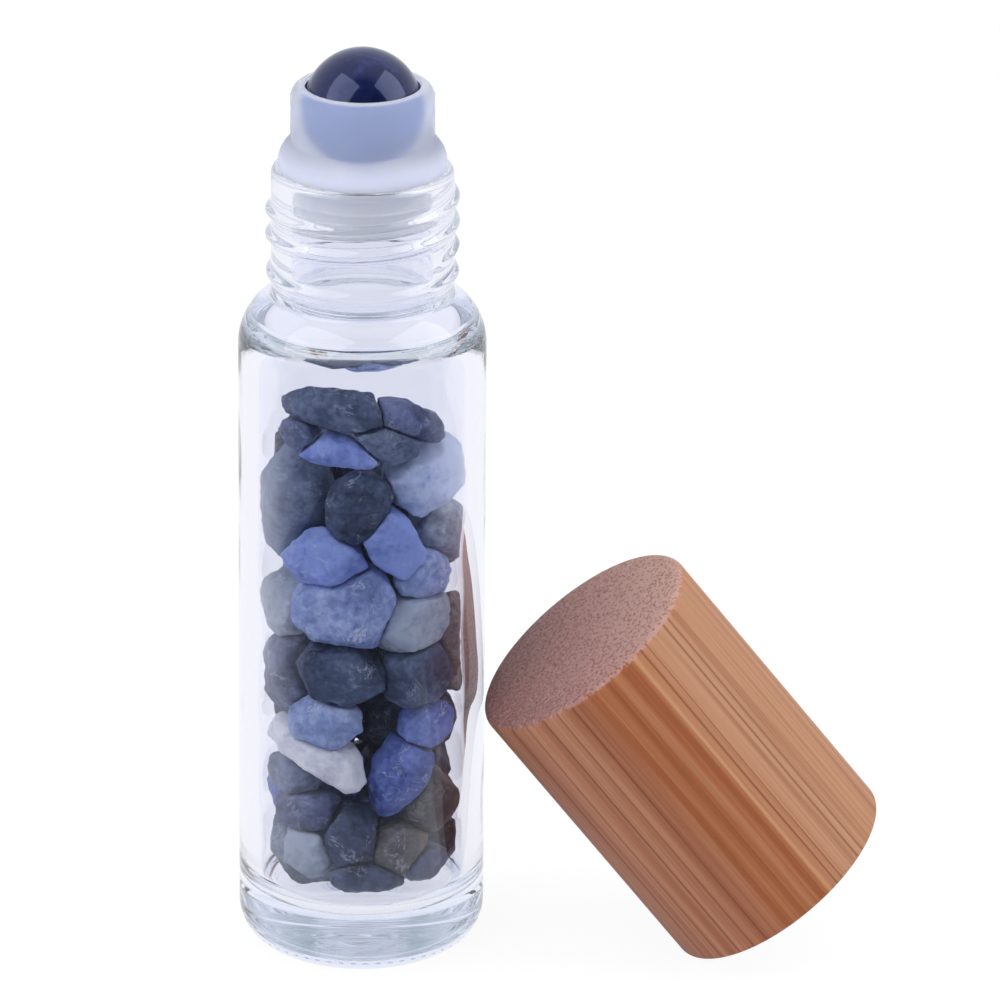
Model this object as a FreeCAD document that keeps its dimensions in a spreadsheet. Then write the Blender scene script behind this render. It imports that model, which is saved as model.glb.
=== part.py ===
# Roll-on bottle with a stone ball, a fill of tumbled stone chips and a bamboo cap.
# The bottle stands on z = 0 with its axis on Z, and the cap leans on its right side.
import FreeCAD, Part
import math
import os
import re
import Sketcher
from FreeCAD import Matrix, Placement, Rotation, Vector

doc = FreeCAD.newDocument("RollOnBottle")

# Driving sizes in millimetres, angles in degrees
sizes = {
    # glass bottle
    "body_diameter": 20.0,
    "wall_thickness": 1.6,
    "floor_thickness": 5.0,
    "wall_height": 51.9,
    "heel_radius": 3.6,
    "inner_heel_radius": 2.4,
    "bearing_width": 1.9,
    "push_up_depth": 0.5,
    "shoulder_radius": 5.0,
    "inner_rise": 1.3,
    "throat_round": 0.5,
    "bore_diameter": 11.4,
    "neck_wall": 1.65,
    "neck_height": 10.5,
    "bead_gap": 1.05,
    "bead_width": 1.5,
    "bead_proud": 0.4,
    "rim_round": 0.5,
    "mouth_bevel": 0.3,
    # stone ball and its housing
    "ball_diameter": 9.5,
    "seat_rise": 0.3,
    "socket_clearance": 0.05,
    "lip_rise": 1.35,
    "lip_height": 0.55,
    "cup_wall": 0.98,
    "cup_round": 0.95,
    "flange_inset": 0.55,
    "flange_edge": 0.6,
    "flange_rise": 2.4,
    "flange_dome": 2.6,
    "plug_length": 4.2,
    "plug_wall": 1.1,
    "plug_lead": 0.3,
    "plug_clearance": 0.04,
    "rib_height": 0.16,
    "rib_margin": 0.9,
    "feed_diameter": 4.0,
    "seat_web": 1.0,
    # bamboo cap and its liner
    "cap_wall": 1.25,
    "cap_top": 6.0,
    "cap_rim_round": 0.55,
    "cap_top_round": 0.7,
    "cap_seat_gap": 0.4,
    "thread_depth": 0.45,
    "thread_clearance": 0.2,
    "liner_wall": 0.8,
    "liner_top": 1.0,
    "liner_bevel": 1.0,
    "liner_setback": 0.8,
    "glue_gap": 0.05,
    "seal_gap": 0.1,
    "cap_lean_angle": 37.8,
    "cap_turn_angle": 7.7,
    "cap_shift": -0.6,
    "cap_gap": 0.15,
    # stone fill
    "headspace": 3.7,
    "chip_gap": 0.05,
}
ribCount = 3
touchSteps = 720
touchError = 1e-6

sheet = doc.addObject("Spreadsheet::Sheet", "Sizes")
for row, (alias, value) in enumerate(sizes.items(), 1):
    sheet.set("A%d" % row, alias)
    sheet.set("B%d" % row, str(value))
    sheet.setAlias("B%d" % row, alias)
doc.recompute()


# A formula on size names, spelled for the document and worked out
def spelled(formula):
    return re.sub(r"[a-z_]+", lambda word: "Sizes." + word[0] if word[0] in sizes else word[0], formula)


def worth(formula):
    return float(sheet.evalExpression(spelled(formula)))


# Radii and levels that several pieces share
bodyRadius = "body_diameter / 2"
cavityRadius = "(body_diameter / 2 - wall_thickness)"
boreRadius = "bore_diameter / 2"
neckRadius = "(bore_diameter / 2 + neck_wall)"
shoulderCentre = "(body_diameter / 2 - shoulder_radius)"
shoulderTop = f"(wall_height + sqrt(shoulder_radius ^ 2 - ({neckRadius} - {shoulderCentre}) ^ 2))"
innerShoulder = f"({cavityRadius} - {boreRadius} - throat_round)"
innerTop = f"(wall_height + inner_rise + {innerShoulder})"
rimLevel = f"({shoulderTop} + neck_height)"
ballRadius = "ball_diameter / 2"
socketRadius = "(ball_diameter / 2 + socket_clearance)"
ballLevel = f"({rimLevel} + seat_rise + {socketRadius})"
lipLevel = f"({ballLevel} + lip_rise)"
lipRadius = f"sqrt({socketRadius} ^ 2 - lip_rise ^ 2)"
cupRadius = f"({socketRadius} + cup_wall)"
flangeRadius = f"({neckRadius} - flange_inset)"
plugRadius = f"({boreRadius} - plug_clearance - rib_height)"
seatLevel = f"({rimLevel} + seat_rise - seat_web)"
linerBore = f"({neckRadius} + thread_depth + thread_clearance)"
linerRadius = f"({linerBore} + liner_wall)"
linerDepth = f"({ballLevel} + {ballRadius} - {shoulderTop} - cap_seat_gap + seal_gap)"
capBore = f"({linerRadius} + glue_gap)"
capRadius = f"({capBore} + cap_wall)"
capBoreEnd = f"({linerDepth} + liner_top + glue_gap)"
capLength = f"({capBoreEnd} + cap_top)"
fillHeight = "(wall_height - floor_thickness - headspace)"


# A sketch of one closed outline on a body's XZ plane.
# Each corner is (radius, level) or, where an arc runs on to the next corner, (radius, level, side, arc
# radius), with the arc's centre to the left or right of the way the outline is walked. A ball-shaped
# stretch has no arc radius, because its centre lies on the axis.
def outlineSketch(body, name, corners):
    sketch = body.newObject("Sketcher::SketchObject", name)
    plane = next(item for item in body.Origin.OriginFeatures if item.Role == "XZ_Plane")
    sketch.AttachmentSupport = (plane, [""])
    sketch.MapMode = "FlatFace"
    points = [Vector(worth(corner[0]), worth(corner[1]), 0) for corner in corners]
    ends = []
    for index, corner in enumerate(corners):
        start = points[index]
        end = points[(index + 1) % len(points)]
        if len(corner) == 2:
            edge = sketch.addGeometry(Part.LineSegment(start, end))
            ends.append((edge, 1, 2))
            continue
        side = corner[2]
        if len(corner) == 3:
            centre = Vector(0, (end.dot(end) - start.dot(start)) / (end.y - start.y) / 2, 0)
            radius = (start - centre).Length
        else:
            radius = worth(corner[3])
            half = (end - start) / 2
            sideways = Vector(-half.y, half.x, 0).normalize() * (1 if side == "left" else -1)
            centre = start + half + sideways * math.sqrt(max(radius ** 2 - half.Length ** 2, 0))
        first, last = (start, end) if side == "left" else (end, start)
        angles = [math.atan2(point.y - centre.y, point.x - centre.x) for point in (first, last)]
        circle = Part.Circle(centre, Vector(0, 0, 1), radius)
        edge = sketch.addGeometry(Part.ArcOfCircle(circle, angles[0], angles[1]))
        ends.append((edge, 1, 2) if side == "left" else (edge, 2, 1))
    for index, corner in enumerate(corners):
        edge, start, end = ends[index]
        following, followingStart, _ = ends[(index + 1) % len(ends)]
        sketch.addConstraint(Sketcher.Constraint("Coincident", edge, end, following, followingStart))
        for kind, formula, place in (("DistanceX", corner[0], points[index].x),
                                     ("DistanceY", corner[1], points[index].y)):
            number = sketch.addConstraint(Sketcher.Constraint(kind, -1, 1, edge, start, place))
            sketch.setExpression("Constraints[%d]" % number, spelled(formula))
        if len(corner) == 3:
            sketch.addConstraint(Sketcher.Constraint("PointOnObject", edge, 3, -2))
        if len(corner) == 4:
            number = sketch.addConstraint(Sketcher.Constraint("Radius", edge, worth(corner[3])))
            sketch.setExpression("Constraints[%d]" % number, spelled(corner[3]))
    return sketch


# A turned piece: the outline goes once round the Z axis
def turned(label, corners):
    body = doc.addObject("PartDesign::Body", label)
    body.Label = label
    sketch = outlineSketch(body, label + "_outline", corners)
    turning = body.newObject("PartDesign::Revolution", label + "_turning")
    turning.Profile = sketch
    turning.ReferenceAxis = (sketch, ["V_Axis"])
    turning.Angle = 360
    doc.recompute()
    return body


# Thick glass bottle: push-up base, rounded heel, straight wall, shoulder, beaded neck and bore
def makeBottle():
    pushUpRadius = f"{bodyRadius} - heel_radius - bearing_width"
    beadFoot = f"{shoulderTop} + bead_gap"
    beadArc = "(bead_width ^ 2 / 4 + bead_proud ^ 2) / (2 * bead_proud)"
    return turned("glass_bottle", [
        ("0", "push_up_depth", "right"),
        (pushUpRadius, "0"),
        (f"{bodyRadius} - heel_radius", "0", "left", "heel_radius"),
        (bodyRadius, "heel_radius"),
        (bodyRadius, "wall_height", "left", "shoulder_radius"),
        (neckRadius, shoulderTop),
        (neckRadius, beadFoot, "left", beadArc),
        (neckRadius, f"{beadFoot} + bead_width"),
        (neckRadius, f"{rimLevel} - rim_round", "left", "rim_round"),
        (f"{neckRadius} - rim_round", rimLevel),
        (f"{boreRadius} + mouth_bevel", rimLevel),
        (boreRadius, f"{rimLevel} - mouth_bevel"),
        (boreRadius, f"{innerTop} + throat_round", "left", "throat_round"),
        (f"{boreRadius} + throat_round", innerTop, "right", innerShoulder),
        (cavityRadius, "wall_height + inner_rise"),
        (cavityRadius, "floor_thickness + inner_heel_radius", "right", "inner_heel_radius"),
        (f"{cavityRadius} - inner_heel_radius", "floor_thickness"),
        ("0", "floor_thickness"),
    ])


# Moulded roller housing: ribbed plug in the neck, domed flange on the rim, snap-lip cup for the ball
def makeHousing():
    body = turned("roller_housing", [
        (f"{plugRadius} - plug_wall", f"{rimLevel} - plug_length"),
        (f"{plugRadius} - plug_lead", f"{rimLevel} - plug_length"),
        (plugRadius, f"{rimLevel} - plug_length + plug_lead"),
        (plugRadius, rimLevel),
        (flangeRadius, rimLevel),
        (flangeRadius, f"{rimLevel} + flange_edge", "left", "flange_dome"),
        (cupRadius, f"{rimLevel} + flange_rise"),
        (cupRadius, f"{lipLevel} + lip_height - cup_round", "left", "cup_round"),
        (f"{cupRadius} - cup_round", f"{lipLevel} + lip_height"),
        (lipRadius, lipLevel, "right"),
        ("feed_diameter / 2", f"{ballLevel} - sqrt({socketRadius} ^ 2 - feed_diameter ^ 2 / 4)"),
        ("feed_diameter / 2", seatLevel),
        (f"{plugRadius} - plug_wall", seatLevel),
    ])
    # sealing ribs, each a low ridge round the plug
    lowest = f"({rimLevel} - plug_length + rib_margin)"
    ribSketch = outlineSketch(body, "rib_outline", [
        (plugRadius, f"{lowest} - rib_height"),
        (f"{plugRadius} + rib_height", lowest),
        (plugRadius, f"{lowest} + rib_height"),
    ])
    rib = body.newObject("PartDesign::Revolution", "rib")
    rib.Profile = ribSketch
    rib.ReferenceAxis = (ribSketch, ["V_Axis"])
    rib.Angle = 360
    doc.recompute()
    ribs = body.newObject("PartDesign::LinearPattern", "ribs")
    ribs.Originals = [rib]
    ribs.Direction = (ribSketch, ["V_Axis"])
    ribs.Occurrences = ribCount
    ribs.setExpression("Length", spelled("plug_length - 2 * rib_margin"))
    body.Tip = ribs
    return body


# Polished stone ball, held in the housing under the snap lip
def makeBall():
    ball = doc.addObject("Part::Sphere", "roller_ball")
    ball.Label = "roller_ball"
    ball.setExpression("Radius", spelled(ballRadius))
    ball.setExpression("Placement.Base.z", spelled(ballLevel))
    return ball


# Turned bamboo cap and the moulded liner glued in it, both drawn standing on the open rim
def makeCap():
    cap = turned("bamboo_cap", [
        (capBore, "0"),
        (f"{capRadius} - cap_rim_round", "0", "left", "cap_rim_round"),
        (capRadius, "cap_rim_round"),
        (capRadius, f"{capLength} - cap_top_round", "left", "cap_top_round"),
        (f"{capRadius} - cap_top_round", capLength),
        ("0", capLength),
        ("0", capBoreEnd),
        (capBore, capBoreEnd),
    ])
    liner = turned("cap_liner", [
        (linerBore, "liner_setback"),
        (linerRadius, "liner_setback"),
        (linerRadius, f"{linerDepth} + liner_top"),
        ("0", f"{linerDepth} + liner_top"),
        ("0", linerDepth),
        (f"{linerBore} - liner_bevel", linerDepth),
        (linerBore, f"{linerDepth} - liner_bevel"),
    ])
    for piece in (cap, liner):
        piece.Placement = leaningPlace()
    return cap, liner


# Where the cap stands: rim edge on the floor, top edge one cap_gap off the glass
def leaningPlace():
    leanAngle = worth("cap_lean_angle")
    lean = math.radians(leanAngle)
    upright = Vector(0, 0, 1)
    rotation = Rotation(upright, worth("cap_turn_angle")) * Rotation(Vector(0, 1, 0), -leanAngle)
    rimRound, topRound = worth("cap_rim_round"), worth("cap_top_round")
    radius, length, shift = worth(capRadius), worth(capLength), worth("cap_shift")
    lift = (radius - rimRound) * math.sin(lean) + rimRound * (1 - math.cos(lean))
    topEdge = []
    for step in range(touchSteps):
        spoke = Rotation(upright, 360 * step / touchSteps).multVec(Vector(radius - topRound, 0, 0))
        topEdge.append(rotation.multVec(spoke + upright * (length - topRound)))
    wanted = worth(f"{bodyRadius} + cap_gap") + topRound
    near, far = 0.0, wanted + length + 2 * radius
    while far - near > touchError:
        middle = (near + far) / 2
        ahead = [point for point in topEdge if point.x + middle > 0]
        closest = min(math.hypot(point.x + middle, point.y + shift) for point in ahead)
        near, far = (near, middle) if closest > wanted else (middle, far)
    return Placement(Vector(far, shift, lift), rotation)


# Stones that show in front: kind, place across and level, in shares of the cavity and of the fill,
# half width, half height, and lean in degrees
frontChips = [
    ("slate", -0.17, 1.005, 0.52, 0.037, 5),
    ("indigo", 0.40, 0.985, 0.42, 0.033, 26),
    ("indigo", -0.54, 0.955, 0.20, 0.033, 20),
    ("blue", -0.20, 0.935, 0.46, 0.033, 4),
    ("slate", 0.20, 0.950, 0.34, 0.043, 12),
    ("pale", 0.56, 0.865, 0.44, 0.064, -12),
    ("slate", -0.60, 0.803, 0.34, 0.097, 0),
    ("slate", 0.00, 0.815, 0.30, 0.074, 8),
    ("blue", 0.27, 0.745, 0.24, 0.086, -28),
    ("blue", -0.33, 0.710, 0.36, 0.056, -8),
    ("grey", 0.72, 0.735, 0.34, 0.064, 20),
    ("pale", 0.55, 0.670, 0.32, 0.047, 0),
    ("grey", -0.68, 0.595, 0.30, 0.062, -12),
    ("pale", -0.15, 0.620, 0.49, 0.087, -16),
    ("grey", 0.46, 0.590, 0.30, 0.082, 34),
    ("brown", 0.82, 0.510, 0.24, 0.093, -6),
    ("indigo", -0.63, 0.463, 0.32, 0.078, 6),
    ("slate", -0.19, 0.480, 0.42, 0.064, 14),
    ("slate", 0.48, 0.475, 0.34, 0.070, 0),
    ("pale", -0.32, 0.385, 0.33, 0.051, -10),
    ("ivory", -0.40, 0.315, 0.50, 0.043, 24),
    ("blue", 0.57, 0.365, 0.26, 0.051, 20),
    ("blue", 0.38, 0.285, 0.24, 0.089, 30),
    ("slate", -0.60, 0.270, 0.28, 0.043, 0),
    ("indigo", -0.46, 0.200, 0.34, 0.043, 0),
    ("grey", -0.46, 0.120, 0.26, 0.047, -10),
    ("slate", -0.08, 0.150, 0.28, 0.078, -18),
    ("brown", 0.33, 0.125, 0.32, 0.053, -14),
    ("brown", 0.60, 0.205, 0.28, 0.058, -20),
    ("indigo", 0.58, 0.095, 0.20, 0.035, 0),
    ("slate", 0.07, 0.080, 0.34, 0.031, 8),
]

# Stones behind them: layers from the floor up, each from the right round the back to the left
backKinds = [
    ("slate", "indigo", "grey"),
    ("indigo", "slate", "blue"),
    ("slate", "indigo", "slate"),
    ("brown", "slate", "pale"),
    ("slate", "grey", "indigo"),
    ("grey", "blue", "slate"),
    ("slate", "pale", "indigo"),
]
backSpread = 58
backTurn = 40
backLean = 50
backDistance = 0.51
backStagger = 0.10
backSizes = (0.50, 0.48, 0.62)
backFill = 0.9
backStep = 0.35

# How every stone is cut
chipFacets = 18
facetShake = 0.18
wallSides = 12
chipSwell = 1.12
chipDepth = 0.8
leastInward = 0.2
leastCut = 0.002


# A repeatable scatter between 0 and 1: the far digits of a sine
scatterStep, scatterStart, scatterDigits = 12.9898, 4.1, 43758.5453


def scatter(number):
    return math.modf(abs(math.sin(number * scatterStep + scatterStart) * scatterDigits))[0]


# One stone before trimming: kind, centre, its three half sizes and the directions they lie along
def roughChip(kind, centre, halves, lean):
    outward = Vector(centre.x, centre.y, 0).normalize()
    across = Vector(-outward.y, outward.x, 0)
    tilt = Rotation(outward, lean)
    axes = [outward, tilt.multVec(across), tilt.multVec(Vector(0, 0, 1))]
    return {"kind": kind, "centre": centre, "halves": halves, "axes": axes}


def layOutChips():
    radius, floor, fill = worth(cavityRadius), worth("floor_thickness"), worth(fillHeight)
    chips = []
    for kind, across, level, wide, high, lean in frontChips:
        aside = across * radius
        width, height = chipSwell * wide * radius, chipSwell * high * fill
        depth = chipDepth * math.sqrt(width * height)
        room = (radius - depth / chipSwell) ** 2 - aside ** 2
        inward = math.sqrt(max(room, (leastInward * radius) ** 2))
        centre = Vector(aside, -inward, floor + level * fill)
        chips.append(roughChip(kind, centre, [depth, width, height], -lean))
    layer = backFill * fill / len(backKinds)
    halves = [backSizes[0] * radius, backSizes[1] * radius, backSizes[2] * layer]
    for storey, kinds in enumerate(backKinds):
        for place, kind in enumerate(kinds):
            first = 4 * len(chips)
            turn, out, rise, lean = [scatter(first + draw) - 0.5 for draw in range(4)]
            angle = math.radians(90 + (place - 1) * backSpread + turn * backTurn)
            distance = radius * (backDistance + out * backStagger)
            level = layer * (storey + 0.5 + rise * backStep)
            centre = Vector(distance * math.cos(angle), distance * math.sin(angle), floor + level)
            chips.append(roughChip(kind, centre, halves, lean * backLean))
    return chips


# How far a stone spreads, as a matrix that two stones share to find the plane between them
def spreadMatrix(chip):
    cells = [[0.0] * 3 for _ in range(3)]
    for half, axis in zip(chip["halves"], chip["axes"]):
        for row in range(3):
            for column in range(3):
                cells[row][column] += half ** 2 * axis[row] * axis[column]
    first, second, third = cells
    return Matrix(*first, 0, *second, 0, *third, 0, 0, 0, 0, 0.5)


# The plane that parts a stone from its neighbour, as its normal and its distance from the origin
def partingPlane(chip, neighbour):
    between = neighbour["centre"] - chip["centre"]
    normal = (spreadMatrix(chip) + spreadMatrix(neighbour)).inverse().multVec(between).normalize()
    own, other = [math.sqrt(normal.dot(spreadMatrix(item).multVec(normal))) for item in (chip, neighbour)]
    share = own / (own + other)
    return normal, normal.dot(chip["centre"]) + share * normal.dot(between) - worth("chip_gap") / 2


# Facet planes of a stone, spread evenly over it by the golden angle
def facetPlanes(chip, number):
    golden = math.pi * (3 - math.sqrt(5))
    planes = []
    for facet in range(chipFacets):
        height = 1 - 2 * (facet + 0.5) / chipFacets
        ring = math.sqrt(1 - height ** 2)
        angle = golden * facet + number
        unit = (ring * math.cos(angle), ring * math.sin(angle), height)
        slope = Vector()
        for share, half, axis in zip(unit, chip["halves"], chip["axes"]):
            slope += axis * (share / half)
        depth = 1 - facetShake * scatter(number * chipFacets + facet)
        normal = Vector(slope).normalize()
        planes.append((normal, normal.dot(chip["centre"]) + depth / slope.Length))
    return planes


# Planes just inside the cavity: its round wall as an inner polygon, its floor and the rounded corner
def cavityPlanes(chip):
    radius, gap, floor = worth(cavityRadius), worth("chip_gap"), worth("floor_thickness")
    corner = worth(f"{cavityRadius} - inner_heel_radius")
    towards = math.atan2(chip["centre"].y, chip["centre"].x)
    inset = math.cos(math.pi / wallSides)
    planes = [(Vector(0, 0, -1), -floor - gap)]
    for side in range(wallSides):
        angle = towards + 2 * math.pi * side / wallSides
        outward = Vector(math.cos(angle), math.sin(angle), 0)
        planes.append((outward, (radius - gap) * inset))
        slope = outward / inset - Vector(0, 0, 1)
        planes.append((Vector(slope).normalize(), (corner - floor - 2 * gap) / slope.Length))
    return planes


# The faces of a block about the origin, each a ring of corners seen anticlockwise from outside
def blockFaces(half):
    corners = [Vector(x, y, z) * half for x in (-1, 1) for y in (-1, 1) for z in (-1, 1)]
    rings = [(0, 1, 3, 2), (4, 6, 7, 5), (0, 4, 5, 1), (2, 3, 7, 6), (0, 2, 6, 4), (1, 5, 7, 3)]
    return [[corners[index] for index in ring] for ring in rings]


# What a plane leaves of a convex solid's faces, with the new face that it makes
def cutFaces(faces, normal, distance):
    left, edge = [], []
    for ring in faces:
        kept = []
        for start, end in zip(ring, ring[1:] + ring[:1]):
            startAbove, endAbove = normal.dot(start) - distance, normal.dot(end) - distance
            if startAbove <= 0:
                kept.append(start)
            if (startAbove <= 0) != (endAbove <= 0):
                crossing = start + (end - start) * (startAbove / (startAbove - endAbove))
                kept.append(crossing)
                edge.append(crossing)
        if len(kept) > 2:
            left.append(kept)
    middle = sum(edge, Vector()) / len(edge)
    first = (edge[0] - middle).normalize()
    second = normal.cross(first)
    edge.sort(key=lambda point: math.atan2(second.dot(point - middle), first.dot(point - middle)))
    return left + [edge[::2]]


# A stone cut about its own centre from a block, by every plane that reaches it
def cutChip(chip, number, chips):
    faces = blockFaces(2 * max(chip["halves"]))
    planes = facetPlanes(chip, number) + cavityPlanes(chip)
    planes += [partingPlane(chip, neighbour) for neighbour in chips if neighbour is not chip]
    for normal, distance in planes:
        fromCentre = distance - normal.dot(chip["centre"])
        if max(normal.dot(point) for ring in faces for point in ring) > fromCentre + leastCut:
            faces = cutFaces(faces, normal, fromCentre)
    return Part.Solid(Part.Shell([Part.Face(Part.makePolygon(ring + ring[:1])) for ring in faces]))


def makeChips():
    chips = layOutChips()
    made = []
    for number, chip in enumerate(chips, 1):
        label = "chip_%s_%02d" % (chip["kind"], number)
        stone = doc.addObject("Part::Feature", label)
        stone.Label = label
        stone.Shape = cutChip(chip, number, chips)
        stone.Placement = Placement(chip["centre"], Rotation())
        made.append(stone)
    return made


pieces = [makeBottle(), makeHousing(), makeBall(), *makeCap(), *makeChips()]
doc.recompute()

# Nothing is written unless every piece came out whole
for item in doc.Objects:
    if "Invalid" in item.State or "Error" in item.State:
        raise RuntimeError("%s did not compute" % item.Label)
for piece in pieces:
    if piece.Shape.isNull() or not piece.Shape.isValid() or len(piece.Shape.Solids) != 1:
        raise RuntimeError("%s is not one valid solid" % piece.Label)

os.makedirs("parts", exist_ok=True)
for piece in pieces:
    piece.Shape.exportStep("parts/%s.step" % piece.Label)
print("%d pieces written" % len(pieces))
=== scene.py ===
import math
import bpy
from mathutils import Matrix, Vector, noise


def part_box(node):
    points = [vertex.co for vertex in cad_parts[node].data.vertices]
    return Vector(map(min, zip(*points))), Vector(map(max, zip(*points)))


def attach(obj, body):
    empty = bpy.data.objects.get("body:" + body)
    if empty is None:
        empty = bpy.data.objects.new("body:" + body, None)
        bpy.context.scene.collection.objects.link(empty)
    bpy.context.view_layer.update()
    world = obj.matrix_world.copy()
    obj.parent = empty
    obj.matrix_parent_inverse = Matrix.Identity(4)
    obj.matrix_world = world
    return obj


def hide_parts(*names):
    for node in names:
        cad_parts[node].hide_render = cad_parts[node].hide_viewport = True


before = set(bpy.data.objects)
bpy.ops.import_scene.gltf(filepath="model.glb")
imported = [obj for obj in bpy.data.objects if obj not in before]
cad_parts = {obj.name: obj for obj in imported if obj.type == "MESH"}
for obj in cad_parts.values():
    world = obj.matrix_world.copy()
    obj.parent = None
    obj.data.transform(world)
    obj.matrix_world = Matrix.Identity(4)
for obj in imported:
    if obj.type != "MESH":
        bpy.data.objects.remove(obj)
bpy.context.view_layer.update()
mm = 0.001
print("frame loaded:", len(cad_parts), "nodes")


# camera: a long lens that looks along +Y and down on the bottle
view = {
    "place": (0.01115, -0.7713, 0.3375),
    "lookDown": 21.2,      # degrees
    "roll": 0.4,
    "lens": 368.4,
    "sensor": 36,
    "near": 0.01,
}


def addCamera():
    turn = Matrix.Rotation(math.radians(90 - view["lookDown"]), 3, "X")
    turn = turn @ Matrix.Rotation(math.radians(view["roll"]), 3, "Z")
    bpy.ops.object.camera_add(location=view["place"], rotation=turn.to_euler())
    camera = bpy.context.object
    camera.data.lens = view["lens"]
    camera.data.sensor_width = view["sensor"]
    camera.data.clip_start = view["near"]
    bpy.context.scene.camera = camera
    bpy.context.scene.view_settings.view_transform = "Standard"


# one output of a shader node: sums on it add Math nodes
class Wire:
    def __init__(self, tree, socket=None):
        self.tree = tree
        self.socket = socket

    # settings first, then the values or links of the sockets
    def node(self, kind, settings, sockets, output=0):
        made = self.tree.nodes.new("ShaderNode" + kind)
        for name, value in settings.items():
            if name == "stops":
                while len(made.color_ramp.elements) < len(value):
                    made.color_ramp.elements.new(1)
                for element, (position, colour) in zip(made.color_ramp.elements, value):
                    element.position = position
                    element.color = (*colour, 1)
            else:
                setattr(made, name, value)
        for name, value in sockets.items():
            if isinstance(value, Wire):
                self.tree.links.new(value.socket, made.inputs[name])
            elif isinstance(value, tuple) and made.inputs[name].type == "RGBA":
                made.inputs[name].default_value = (*value, 1)
            else:
                made.inputs[name].default_value = value
        return Wire(self.tree, made.outputs[output] if made.outputs else None)

    def sum(self, operation, first, second):
        return self.node("Math", {"operation": operation}, {0: first, 1: second})

    def __add__(self, other):
        return self.sum("ADD", self, other)

    def __radd__(self, other):
        return self.sum("ADD", other, self)

    def __sub__(self, other):
        return self.sum("SUBTRACT", self, other)

    def __rsub__(self, other):
        return self.sum("SUBTRACT", other, self)

    def __mul__(self, other):
        return self.sum("MULTIPLY", self, other)

    def __gt__(self, other):
        return self.sum("GREATER_THAN", self, other)

    def __lt__(self, other):
        return self.sum("LESS_THAN", self, other)

    # 0 below low, 1 above high, smooth between
    def between(self, low, high):
        return self.node("MapRange", {"interpolation_type": "SMOOTHSTEP"}, {0: self, 1: low, 2: high})

    def blend(self, first, second):
        return self.node("Mix", {"data_type": "RGBA"}, {0: self, 6: first, 7: second}, 2)

    def ramp(self, *stops):
        return self.node("ValToRGB", {"stops": stops}, {0: self})

    # self is a place: a cloudy value, sizes in metres
    def cloud(self, size, detail=3, rough=0.5, warp=0.0):
        return self.node("TexNoise", {}, {"Vector": self, "Scale": 1 / size, "Detail": detail,
                                          "Roughness": rough, "Distortion": warp})

    def moved(self, place=(0, 0, 0), turn=(0, 0, 0), scale=(1, 1, 1), kind="POINT"):
        return self.node("Mapping", {"vector_type": kind}, {0: self, 1: place, 2: turn, 3: scale})

    def bump(self, strength, depth):
        return self.node("Bump", {}, {"Height": self, "Strength": strength, "Distance": depth})

    def surface(self, **finish):
        return self.node("BsdfPrincipled", {}, {spaced(key): value for key, value in finish.items()})

    def show(self, shader, *inside):
        self.node("OutputMaterial", {}, dict(enumerate((shader, *inside))))


# baseColor -> Base Color
def spaced(word):
    text = "".join(" " + letter if letter.isupper() else letter for letter in word)
    return {"ior": "IOR"}.get(text, text[0].upper() + text[1:]).replace("Ior", "IOR")


def newMaterial(name):
    material = bpy.data.materials.new(name)
    material.use_nodes = True
    material.node_tree.nodes.clear()
    return material, Wire(material.node_tree).node("TexCoord", {}, {}, "Object")


# stage: pale floor, white behind the object, two soft boxes and a pale room
stageSizes = {
    "floorWidth": 6.0,
    "floorGap": 0.05 * mm,
    "floorColour": (0.9, 0.9, 0.9),
    "floorGlow": 0.86,                     # share of the floor's white that keeps no shadow
    "floorOver": 0.06,                     # more white where the camera sees it straight
    "middle": 45 * mm,                     # level that the lamps point at
    "lampColour": (0.95, 0.97, 1.0),
    "roomColour": (0.80, 0.84, 0.93),
    "roomLight": 0.70,
    "roomWhite": (0.88, 0.91, 1.0),
    "frontTone": (0.13, 0.165, 0.165),     # round the camera, as glass and stone mirror it
    "throughTone": (0.50, 0.56, 0.60),     # round the camera, as glass turns it back
    "frontReach": (0.35, 0.75),            # cosine from the way to the camera
    "floorTone": (0.10, 0.115, 0.14),      # of the floor before the bottle, as glass mirrors it
    "mirroredFloor": (-34 * mm, -13 * mm),
    "passedFloor": (-50 * mm, -22 * mm),
    "bounces": 56,                         # thick glass passes light on many times
}
softBoxes = {
    "left": {"towards": (-0.62, -0.42, 0.70), "away": 0.40, "size": 0.36, "power": 0.80},
    "right": {"towards": (0.75, -0.16, 0.64), "away": 0.40, "size": 0.34, "power": 0.72},
}


# ways that light takes to the camera
def seenPaths(start):
    camera, glossy, passed, scattered, turned = [start.node("LightPath", {}, {}, output) for output in (
        "Is Camera Ray", "Is Glossy Ray", "Is Transmission Ray", "Diffuse Depth", "Glossy Depth")]
    seen = (camera + glossy + passed > 0.5) * (scattered < 0.5)
    return {
        "straight": camera,
        "seen": seen,                                  # straight, mirrored or through glass
        "mirrored": glossy * (1 - passed),
        "through": seen * passed * (turned > 0.5),     # out of the glass, turned back inside it
        "again": passed * (scattered > 0.5),           # light that glass would pass on twice
    }


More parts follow.
